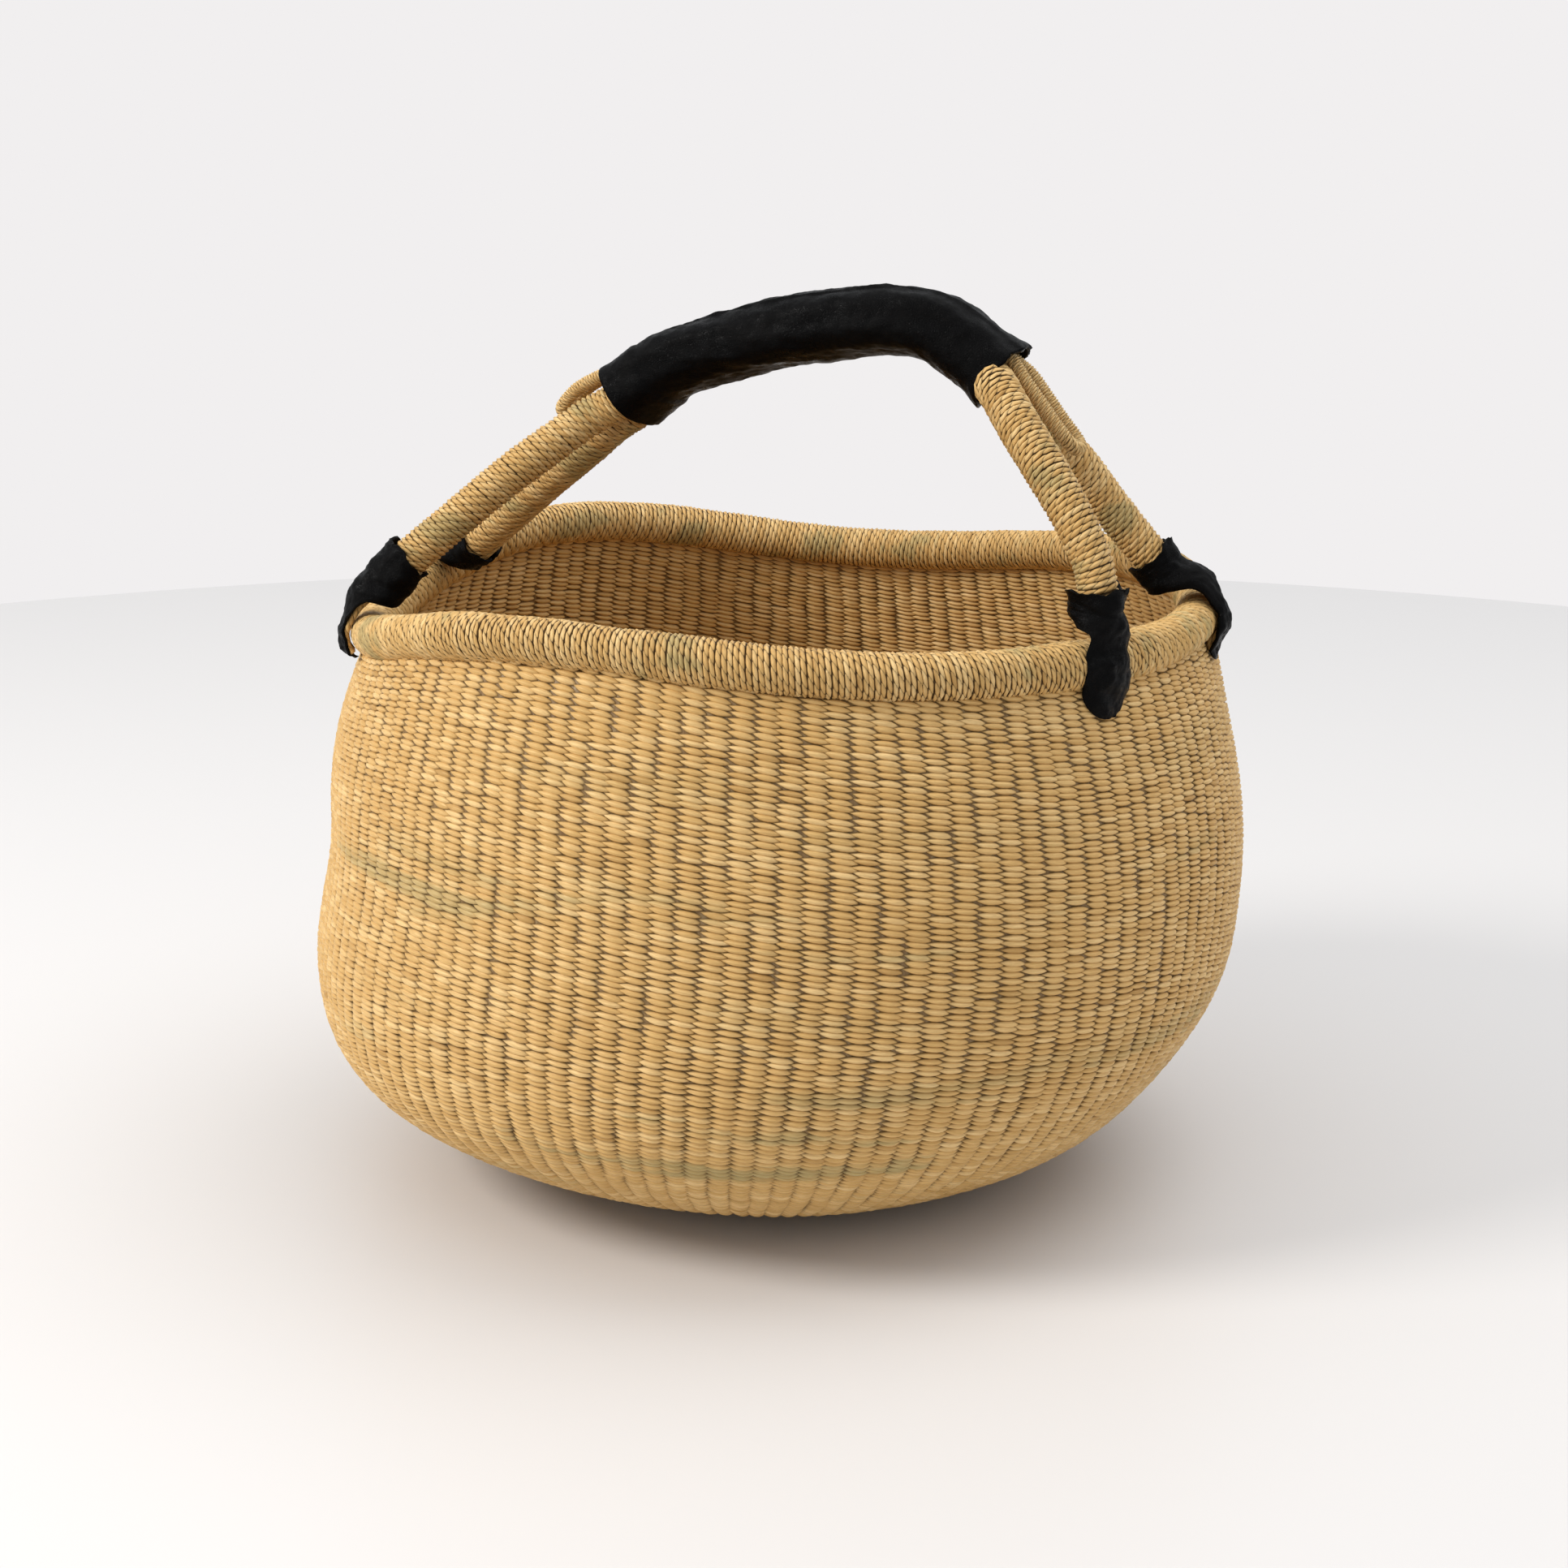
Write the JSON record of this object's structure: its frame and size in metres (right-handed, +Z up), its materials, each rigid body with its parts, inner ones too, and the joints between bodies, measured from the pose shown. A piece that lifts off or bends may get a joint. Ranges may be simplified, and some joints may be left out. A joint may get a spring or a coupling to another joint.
{
  "type": "woven market basket",
  "caption": "Round market basket of twined grass with a wrapped rim, an arched double handle, a leather grip and leather foot straps.",
  "frame": {"origin": "middle of the flat underside of the woven base, on the surface that the basket stands on", "axes": "+Z up out of the mouth; +X along the handle towards the leg pair with the steeper front leg; +Y across the handle, away from the front bundle"},
  "size_m": [0.4095, 0.4075, 0.3876],
  "materials": {
    "straw_weave": "natural twined grass, matt with a faint gloss, patches of greenish grey",
    "straw_wrap": "fine two-ply grass cord wound close, faint gloss",
    "straw_core": "bundled raw grass",
    "grip_leather": "black goat leather, soft satin sheen, wrinkled",
    "foot_leather": "black goat leather, duller and crumpled"
  },
  "bodies": {
    "root": {"base_weave": "straw_weave", "wall_foot": "straw_weave", "wall_lower": "straw_weave", "wall_belly": "straw_weave", "wall_upper": "straw_weave", "rim_core": "straw_core", "rim_binding": "straw_wrap", "handle_front_core": "straw_core", "handle_front_binding": "straw_wrap", "handle_rear_core": "straw_core", "handle_rear_binding": "straw_wrap", "grip_link_core": "straw_core", "grip_link_binding": "straw_wrap", "grip_sleeve": "grip_leather", "grip_cuff_left": "grip_leather", "grip_cuff_right": "grip_leather", "grip_seam": "grip_leather", "foot_cord_front_left": "straw_wrap", "foot_cord_front_right": "straw_wrap", "foot_cord_rear_left": "straw_wrap", "foot_cord_rear_right": "straw_wrap", "foot_leather_front_left": "foot_leather", "foot_leather_front_right": "foot_leather", "foot_leather_rear_left": "foot_leather", "foot_leather_rear_right": "foot_leather"}
  },
  "joints": []
}
